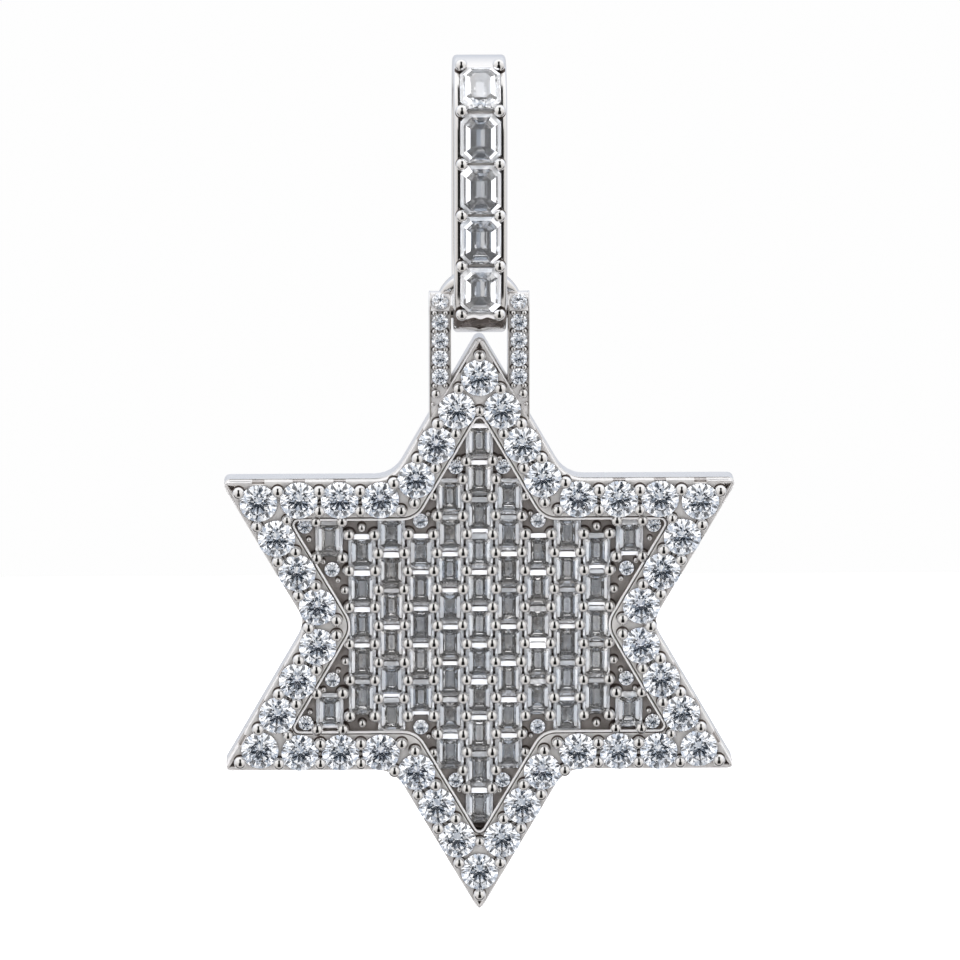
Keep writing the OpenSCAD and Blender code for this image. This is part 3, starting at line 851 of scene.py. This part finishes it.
def stepMesh(w, l, cut, crownRings, pavilionRings, keel, halfGirdle=0.025):
    # rings: (inset at the sides, inset at the ends, height), from the girdle outward
    def ring(side, end, y):
        x, z = w / 2 - side, l / 2 - end
        c = max(0.02, cut * (1 - max(side, end) / (w / 2) * 0.8))
        quarters = [(x, c - z), (x, z - c), (x - c, z), (c - x, z),
                    (-x, z - c), (-x, c - z), (c - x, -z), (x - c, -z)]
        return [(px, y, pz) for px, pz in quarters]
    rings = [ring(a, b, -halfGirdle - h) for a, b, h in reversed(crownRings)]
    rings += [ring(0, 0, -halfGirdle), ring(0, 0, halfGirdle)]
    rings += [ring(a, b, halfGirdle + h) for a, b, h in pavilionRings]
    points = [p for r in rings for p in r]
    faces = [tuple(range(8))]
    last = 8 * (len(rings) - 1)
    for start in range(0, last, 8):
        faces += ringFaces(start, start + 8, 8)
    # the keel's two ends, the first at the upper end
    high, low = len(points), len(points) + 1
    depth, half = keel
    points += [(0, halfGirdle + depth, half), (0, halfGirdle + depth, -half)]
    facets = [(0, 1, high, low), (1, 2, high), (2, 3, high), (3, 4, high),
              (4, 5, low, high), (5, 6, low), (6, 7, low), (7, 0, low)]
    faces += [(last + f[0], last + f[1], *f[2:]) for f in facets]
    return points, faces


def markFacets(shape, faces, ring, sides, finish):
    # of the step cut put last, in the crown's ring counted from the table
    first = len(shape["marks"]) - len(faces) + 1 + 8 * ring
    for i in sides:
        shape["marks"][first + i] = finish


def lean(amount):
    a, b = [Matrix.Rotation(math.radians(random.uniform(-amount, amount)), 4, axis) for axis in "XZ"]
    return a @ b


def anyTurn():
    return Matrix.Rotation(math.radians(random.uniform(0, 45)), 4, "Y")


borderCut = {
    "size": 2.9, "lift": 0.2, "lean": 0.7,
    # table, crown and pavilion angles, and how far in the lower halves reach
    "cuts": [(0.57, 34.5, 40.6, 0.22), (0.57, 34.0, 41.0, 0.25), (0.55, 34.5, 41.0, 0.22)],
}
border = newShape()
for x, z in borderPlaces:
    points, faces = brilliantMesh(borderCut["size"], *random.choice(borderCut["cuts"]))
    turn = anyTurn()
    place = inStar(x, z, plan["face"] - borderCut["lift"]) @ lean(borderCut["lean"]) @ turn
    put(border, points, faces, place)
makePiece("borderBrilliants", border, ["clearStone"], "star", stands=["border_stones"])

baguetteCut = {
    # crown and pavilion steps as (from the sides, from the ends, height),
    # and the keel's depth and half length
    "styles": [
        ([(0.2, 0.3, 0.28), (0.27, 0.36, 0.31), (0.48, 0.52, 0.37)],
         [(0.35, 0.35, 0.38), (0.75, 0.72, 0.7)],
         (0.8, 0.55)),
        ([(0.22, 0.3, 0.28), (0.28, 0.38, 0.31), (0.54, 0.54, 0.37)],
         [(0.35, 0.45, 0.42), (0.7, 0.8, 0.72)],
         (0.86, 0.5)),
        ([(0.2, 0.3, 0.28), (0.27, 0.36, 0.31), (0.46, 0.5, 0.38)],
         [(0.3, 0.3, 0.34), (0.6, 0.6, 0.62), (0.82, 0.8, 0.78)],
         (0.82, 0.55)),
    ],
    # how far the crown's and the pavilion's steps and the crown's ends vary
    "crownSpread": (0.94, 1.06),
    "pavilionSpread": (0.95, 1.05),
    "endSpread": (0.75, 1.2),
    "lean": 1.2,
    # which end facet gets a painted highlight: the upper end's, the lower one's or neither
    "highlightEnds": [upperEnd, upperEnd, upperEnd, upperEnd, lowerEnd, None, None, None],
}
field = newShape()
for x, z in baguettePlaces:
    f, b = fieldShape, baguetteCut
    crown, pavilion, keel = random.choice(b["styles"])
    k, j, g = [random.uniform(*b[name]) for name in ("crownSpread", "pavilionSpread", "endSpread")]
    crown = [(side * k, end * g, h) for side, end, h in crown]
    pavilion = [(side * j, end * j, h) for side, end, h in pavilion]
    points, faces = stepMesh(f["width"], f["length"], f["cut"], crown, pavilion, keel)
    put(field, points, faces, inStar(x, z, plan["plate"] - f["lift"]) @ lean(b["lean"]))
    # painted light: the outer crown ring and the first ring's long sides are made milky, and one end
    # facet may get a painted highlight
    outer, bar = len(crown) - 1, random.choice(b["highlightEnds"])
    markFacets(field, faces, outer, [i for i in range(8) if i != lowerEnd], "milkyStone")
    if bar is not None:
        markFacets(field, faces, outer, [bar], "litFacet")
    markFacets(field, faces, 0, longSides, "milkyStone")
makePiece("fieldBaguettes", field, ["stepStone", "milkyStone", "litFacet"],
          "star", stands=["field_baguettes"])

small = newShape()
for x, z in roundPlaces:
    points, faces = brilliantMesh(fieldShape["roundSize"], fine=2)
    put(small, points, faces, inStar(x, z, plan["plate"] - fieldShape["lift"]) @ anyTurn())
makePiece("fieldRounds", small, ["clearStone"], "star", stands=["field_rounds"])

for side, name in ((-1, "left"), (1, "right")):
    row = newShape()
    lift = Matrix.Translation((0, -earShape["stoneLift"], 0))
    for place in earPlaces(side):
        points, faces = brilliantMesh(earShape["stone"], fine=2)
        turn = anyTurn()
        put(row, points, faces, place @ lift @ lean(earShape["lean"]) @ turn)
    makePiece("earStones." + name, row, ["clearStone"],
              "star", stands=["ear_stones_" + name])
print("star stones made")


bailShape = {
    "high": 21.65, "deep": 12.0, "endRadius": 5.75, "wide": 4.1, "wall": 1.3,
    "corner": 0.34, "innerCorner": 0.2,
    "channelWide": 3.2, "channelDeep": 1.18, "channelTaper": 0.02,
    "channelOver": 0.05,  # how far it runs on past the first and the last prongs
    "channelEnd": 0.02,   # half the run of its end walls
    "firstRow": 2.7, "pitch": 3.97,
    "footRise": 0.75,     # the foot's inside is flat at this height over the pin's middle
    "steps": 220,
    "prongSide": 1.44, "prongRadius": 0.485, "prongStem": 0.28, "prongLift": 0.42,
    "prongSpread": (0.97, 1.03), "prongRoot": 0.8, "shadowRing": 1.03, "shadowRingRoot": 0.4,
    "barWide": 0.34, "barDrop": 0.12, "barDeep": 1.0, "barEdge": 0.08,
    # from the top along the loop: the band painted dark as a reflection, and how far past the lowest
    # point the polish goes
    "paintedReflectionBand": (22.6, 24.8),
    "polishedOver": 2,
    # the lip under the last stone, with its shallow points
    "lip": {"at": (-5.1, -17.92), "half": 1.62, "tall": 0.33, "point": 0.17, "waves": 1.5,
            "thick": 0.3, "edge": 0.09, "looksUp": 51, "steps": 18},
}


def bailPath():
    # the loop's outline from the side, as arcs: two ends and two long sides
    b = bailShape
    halfD, endR = b["deep"] / 2, b["endRadius"]
    endZ = b["high"] / 2 - endR
    sideR = (endZ ** 2 + halfD ** 2 - endR ** 2) / (2 * (halfD - endR))
    sideA = math.asin(endZ / (sideR - endR))
    endLen, sideLen = endR * (math.pi / 2 - sideA), sideR * 2 * sideA
    mid = b["wall"] - b["high"] / 2
    total = 2 * (2 * endLen + sideLen)

    def at(s):
        # s runs from the top down the front and up the back
        s %= total
        sign = -1 if s > total / 2 else 1
        u = min(s, total - s)
        if u < endLen:
            a = math.pi / 2 - u / endR
        elif u < endLen + sideLen:
            a = sideA - (u - endLen) / sideR
        else:
            a = -sideA - (u - endLen - sideLen) / endR
        if abs(a) > sideA:
            y, z = -endR * math.cos(a), math.copysign(endZ, a) + endR * math.sin(a)
        else:
            y, z = sideR - halfD - sideR * math.cos(a), sideR * math.sin(a)
        return Vector((0, sign * y, mid + z)), Vector((0, -sign * math.cos(a), math.sin(a))), a
    return at, total


bailAt, bailLength = bailPath()
channelStart = bailShape["firstRow"] - bailShape["channelOver"]
channelStop = bailShape["firstRow"] + 5 * bailShape["pitch"] + bailShape["channelOver"]


def onBail(s):
    point, out, tilt = bailAt(s)
    return Matrix.Translation(point) @ Matrix.Rotation(-tilt, 4, "X")


def bailSection(s):
    # points as (aside, how far in), round the outer face with its channel, then round the inner face
    b = bailShape
    half, wall, w = b["wide"] / 2, b["wall"], b["channelWide"] / 2
    deep = b["channelDeep"] if channelStart < s < channelStop else 0.0
    foot = w - b["channelTaper"]
    outer, inner = quarter(b["corner"], 4), quarter(b["innerCorner"], 3)
    over = [(x - half, d) for x, d in outer]
    over += [(-w, 0.0), (-foot, deep), (foot, deep), (w, 0.0)]
    over += [(half - x, d) for x, d in reversed(outer)]
    under = [(half - x, wall - d) for x, d in inner]
    under += [(x - half, wall - d) for x, d in reversed(inner)]
    return over, under


def bandFinish(s, i):
    # i counts the section's points, and the channel lies between 5 and 8
    b = bailShape
    if i in (5, 6, 7) and channelStart < s < channelStop - 1.5 * b["channelEnd"]:
        return "frost"
    # painted dark reflection: a band across the loop's bottom
    if b["paintedReflectionBand"][0] < s < b["paintedReflectionBand"][1]:
        return "underside"
    if channelStop < s < bailLength / 2 + b["polishedOver"]:
        return "bright"
    return "dome"


def bailMetal(shape):
    b = bailShape
    stations = [bailLength * i / b["steps"] for i in range(b["steps"])]
    stations += [s + way * b["channelEnd"] for s in (channelStart, channelStop) for way in (-1, 1)]
    stations.sort()
    floorZ = plan["pinZ"] + b["footRise"]
    sections = []
    for s in stations:
        point, out, tilt = bailAt(s)
        over, under = bailSection(s)
        ring = [point - out * d + Vector((x, 0, 0)) for x, d in over + under]
        for p in ring[len(over):]:
            p.z = max(p.z, floorZ)
        sections.append(ring)
    n = len(sections[0])
    faces, finish = [], []
    for k, s in enumerate(stations):
        faces += ringFaces(k * n, (k + 1) % len(stations) * n, n)
        finish += [bandFinish(s, i) for i in range(n)]
    put(shape, [p for ring in sections for p in ring], faces)
    shape["marks"] = finish
    for i in range(6):
        place = onBail(b["firstRow"] + i * b["pitch"])
        bar = boxLoop(0, 0, b["channelWide"], b["barWide"])
        slab(shape, bar, [], b["barDrop"], b["barDeep"], b["barEdge"], place=place, mark="satin")
    lip = b["lip"]
    half, tall, steps = lip["half"], lip["tall"], lip["steps"]
    low = []
    for i in range(-steps, steps + 1):
        wave = math.sin(abs(i) / steps * math.pi * lip["waves"]) ** 2
        low.append((i / steps * half, lip["point"] * wave - tall))
    place = Matrix.Translation((0, *lip["at"])) @ Matrix.Rotation(-math.radians(lip["looksUp"]), 4, "X")
    slab(shape, low + [(half, tall), (-half, tall)], [], 0, lip["thick"], lip["edge"],
         place=place, mark="frost")


bail = newShape()
bailMetal(bail)
makePiece("bailBand", bail, ["dome", "frost", "satin", "bright", "underside"],
          "bail", smoothDeg=40, stands=["bail_frame"], weighted=True)


def bailBalls(shape):
    b = bailShape
    for i in range(6):
        for x in (-b["prongSide"], b["prongSide"]):
            place = onBail(b["firstRow"] + i * b["pitch"]) @ Matrix.Translation((x, 0, 0))
            r = b["prongRadius"] * random.uniform(*b["prongSpread"])
            ballOnStem(shape, place, r, b["prongStem"], b["prongLift"], b["prongRoot"], 28, 15)
            # a painted shadow ring under each ball
            shadowRing(shape, place, r * b["shadowRing"], 0.0, b["shadowRingRoot"])


bailProngs = newShape()
bailBalls(bailProngs)
makePiece("bailProngs", bailProngs, ["bright", "groove"], "bail", smoothDeg=50)

emeraldCut = {
    "width": 3.12, "length": 3.76, "cut": 0.62, "lift": 0.08, "lean": 1,
    "crown": [(0.26, 0.26, 0.2), (0.44, 0.44, 0.28), (0.76, 0.76, 0.38)],
    "pavilion": [(0.35, 0.35, 0.42), (0.85, 0.85, 0.86)],
    "keel": (1.2, 0.62),
    # painted highlights whiten the long sides round the table, and some corners of the two rings
    # outside them
    "highlightCorners": 3,
    "corners": [(ring, side) for ring in (1, 2) for side in cornerSides],
}
for i in range(1, 6):
    e = emeraldCut
    stone = newShape()
    points, faces = stepMesh(e["width"], e["length"], e["cut"], e["crown"], e["pavilion"], e["keel"])
    middle = onBail(bailShape["firstRow"] + (i - 0.5) * bailShape["pitch"])
    lift = Matrix.Translation((0, -e["lift"], 0))
    put(stone, points, faces, middle @ lift @ lean(e["lean"]))
    # painted light: the outer crown ring is made milky, and the first ring's long sides and some
    # corners get painted highlights
    markFacets(stone, faces, len(e["crown"]) - 1, [k for k in range(8) if k != lowerEnd], "milkyStone")
    markFacets(stone, faces, 0, longSides, "litFacet")
    for ring, side in random.sample(e["corners"], e["highlightCorners"]):
        markFacets(stone, faces, ring, [side], "litFacet")
    if i == 1:
        stone["marks"][0] = "milkyStone"      # painted light: the table of the stone that leans back most is made milky
    makePiece("bailStone." + str(i), stone, ["emeraldStone", "milkyStone", "litFacet"],
              "bail", stands=["bail_stone_" + str(i)])
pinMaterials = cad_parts["hinge_pin"].data.materials
pinMaterials.clear()
pinMaterials.append(looks["bright"])
print("bail made")


lightPlan = {
    # the room that the metal mirrors, by the angle from straight ahead (0) over the top (90)
    # to the back (180)
    "room": [(-180, (0.68, 0.70, 0.75)), (-130, (0.66, 0.65, 0.66)), (-90, (0.64, 0.62, 0.61)),
             (-35, (0.66, 0.635, 0.615)), (13, (0.84, 0.82, 0.805)), (60, (0.97, 0.96, 0.955)),
             (90, (1.1, 1.1, 1.1)), (130, (1.1, 1.1, 1.12)), (165, (0.70, 0.735, 0.81)),
             (180, (0.66, 0.69, 0.76))],
    # its two sides, and where they begin: degrees aside, and how softly
    "side": (0.85, 0.84, 0.84),
    "sideFrom": (68, 16),
    # its dark strips: half width to the sides, lowest and highest, in degrees
    "strips": [(28.0, -56.0, 12.0), (16.0, 0.0, 82.0), (70.0, -114.0, -86.0)],
    "stripTurn": 1.5,
    "stripDark": (0.012, 0.011, 0.011),
    "soften": 3.0,
    # the room that the stones see, by height
    "stoneRoom": [(-90, (0.75, 0.74, 0.75)), (-36, (0.95, 0.95, 0.96)), (0, (1.2, 1.2, 1.21)),
                  (36, (1.6, 1.6, 1.63)), (90, (1.75, 1.77, 1.8))],
    # the dark before the stones: how high, how wide and how soft
    "shadow": (12.0, 24.0, 3.0),
    "shadowDark": (0.02, 0.03, 0.045),
    # this room's darker places
    "patchScale": 2.2,
    "patchDetail": 2,
    "patchTones": [(0, (0.42, 0.48, 0.57)), (0.42, (0.42, 0.48, 0.57)),
                   (0.58, (1.12, 1.12, 1.12)), (1, (1.12, 1.12, 1.12))],
    "fill": (2.0, 2.0, 2.05),           # the room's light on matt things
    "backdrop": (0.99, 0.99, 0.99),
}


def makeWorld():
    world = bpy.data.worlds.new("softRoom")
    bpy.context.scene.world = world
    world.use_nodes = True
    tree = world.node_tree
    tree.nodes.clear()
    new, link = tree.nodes.new, tree.links.new
    p = lightPlan

    def maths(kind, *values):
        node = new("ShaderNodeMath")
        node.operation = kind
        for i, v in enumerate(values):
            if isinstance(v, (int, float)):
                node.inputs[i].default_value = v
            else:
                link(v, node.inputs[i])
        return node.outputs[0]

    def vectorMaths(kind, a, b):
        node = new("ShaderNodeVectorMath")
        node.operation = kind
        link(a, node.inputs[0])
        if isinstance(b, Vector):
            node.inputs[1].default_value = b
        else:
            link(b, node.inputs[1])
        return node

    def edge(value, limit, sign, soft):
        node = new("ShaderNodeMapRange")
        node.interpolation_type = "SMOOTHSTEP"
        setInputs(node, {"From Min": limit - sign * soft, "From Max": limit + sign * soft})
        link(value, node.inputs["Value"])
        return node.outputs["Result"]

    def mixed(amount, a, b):
        node = new("ShaderNodeMix")
        node.data_type = "RGBA"
        link(amount, node.inputs["Factor"])
        link(a, node.inputs["A"])
        node.inputs["B"].default_value = (*b, 1)
        return node.outputs["Result"]

    def ramp(value, stops):
        node = new("ShaderNodeValToRGB")
        points = node.color_ramp.elements
        while len(points) < len(stops):
            points.new(0.5)
        low, high = stops[0][0], stops[-1][0]
        for point, (at, colour) in zip(points, stops):
            point.position = (at - low) / (high - low)
            point.color = (*colour, 1)
        link(maths("MULTIPLY_ADD", value, 1 / (high - low), -low / (high - low)), node.inputs["Fac"])
        return node.outputs["Color"]

    def background(colour):
        node = new("ShaderNodeBackground")
        if isinstance(colour, tuple):
            node.inputs["Color"].default_value = (*colour, 1)
        else:
            link(colour, node.inputs["Color"])
        return node.outputs[0]

    def chosen(ray, a, b):
        node = new("ShaderNodeMixShader")
        link(path.outputs[ray], node.inputs["Fac"])
        link(a, node.inputs[1])
        link(b, node.inputs[2])
        return node.outputs[0]
    where = new("ShaderNodeTexCoord").outputs["Generated"]
    split = new("ShaderNodeSeparateXYZ")
    link(where, split.inputs[0])
    x, y, z = split.outputs
    degree = 180 / math.pi
    height = maths("MULTIPLY", maths("ARCSINE", z), degree)
    aside = maths("ABSOLUTE", maths("MULTIPLY_ADD", maths("ARCSINE", x), degree, -p["stripTurn"]))
    pitch = maths("MULTIPLY", maths("ARCTAN2", z, maths("MULTIPLY", y, -1)), degree)
    # the metal's room, with its dark strips
    limit, soft = p["sideFrom"]
    metalSees = mixed(edge(aside, limit, 1, soft), ramp(pitch, p["room"]), p["side"])
    soft = p["soften"]
    for half, low, up in p["strips"]:
        along = maths("MULTIPLY", edge(pitch, low, 1, soft), edge(pitch, up, -1, soft))
        strip = maths("MULTIPLY", edge(aside, half, -1, soft), along)
        metalSees = mixed(strip, metalSees, p["stripDark"])
    # the stones' room, in patches, with the dark before them
    patches = setInputs(new("ShaderNodeTexNoise"),
                        {"Scale": p["patchScale"], "Detail": p["patchDetail"]})
    link(where, patches.inputs["Vector"])
    tones = ramp(patches.outputs["Fac"], p["patchTones"])
    varied = vectorMaths("MULTIPLY", ramp(height, p["stoneRoom"]), tones).outputs[0]
    up, wide, soft = p["shadow"]
    ahead = Vector((0, -math.cos(math.radians(up)), math.sin(math.radians(up))))
    towards = vectorMaths("DOT_PRODUCT", where, ahead).outputs["Value"]
    away = maths("MULTIPLY", maths("ARCCOSINE", towards), degree)
    stonesSee = mixed(edge(away, wide, -1, soft), varied, p["shadowDark"])
    path = new("ShaderNodeLightPath")
    shown = chosen("Is Transmission Ray", background(metalSees), background(stonesSee))
    shown = chosen("Is Diffuse Ray", shown, background(p["fill"]))
    shown = chosen("Is Camera Ray", shown, background(p["backdrop"]))
    link(shown, new("ShaderNodeOutputWorld").inputs["Surface"])


makeWorld()

cameraPlan = {
    "azimuth": -1.2, "elevation": 13.03,
    "lens": 318.0, "sensor": 36.0,
    "picture": 960, "pxPerMm": 12.8,
    "starAt": (479.5, 625.7),     # where the middle of the star's face lies in the picture
    "clip": (0.01, 20),
}


def makeCamera():
    c = cameraPlan
    a, e = math.radians(c["azimuth"]), math.radians(c["elevation"])
    back = Vector((math.sin(a) * math.cos(e), -math.cos(a) * math.cos(e), math.sin(e)))
    turn = (-back).to_track_quat("-Z", "Y")
    right, up = turn @ Vector((1, 0, 0)), turn @ Vector((0, 1, 0))
    pixel = mm / c["pxPerMm"]
    far = c["picture"] * pixel * c["lens"] / c["sensor"]
    x, z = [(at - c["picture"] / 2) * pixel for at in c["starAt"]]
    faceMid = (starMid + Vector((0, plan["face"], 0))) * mm
    data = bpy.data.cameras.new("camera")
    data.lens, data.sensor_width = c["lens"], c["sensor"]
    data.clip_start, data.clip_end = c["clip"]
    camera = bpy.data.objects.new("camera", data)
    camera.location = faceMid + up * z - right * x + back * far
    camera.rotation_mode = "QUATERNION"
    camera.rotation_quaternion = turn
    bpy.context.scene.collection.objects.link(camera)
    bpy.context.scene.camera = camera


makeCamera()

floorPlan = {
    "wide": 12,           # metres
    "height": -1.5,
    "colour": (0.9, 0.9, 0.9, 1),
    "glow": (0.99, 0.99, 0.99, 1),
    "glowStrength": 0.6,
}


def makeFloor():
    p = floorPlan
    corners = [(x, y, p["height"]) for x, y in boxLoop(0, 0, p["wide"], p["wide"])]
    mesh = bpy.data.meshes.new("paleFloor")
    mesh.from_pydata(corners, [], [(0, 1, 2, 3)])
    floor = bpy.data.objects.new("paleFloor", mesh)
    bpy.context.scene.collection.objects.link(floor)
    paleWhite, tree, shader = newMaterial("paleWhite")
    setInputs(shader, {"Base Color": p["colour"], "Emission Color": p["glow"],
                       "Emission Strength": p["glowStrength"]})
    mesh.materials.append(paleWhite)
    # it is there for the camera alone
    for flag in ("visible_glossy", "visible_diffuse", "visible_transmission", "visible_shadow"):
        setattr(floor, flag, False)


makeFloor()

scene = bpy.context.scene
scene.view_settings.view_transform = "Standard"
scene.cycles.max_bounces = 20
scene.cycles.glossy_bounces = 16
scene.cycles.transmission_bounces = 16
print("light and camera made")
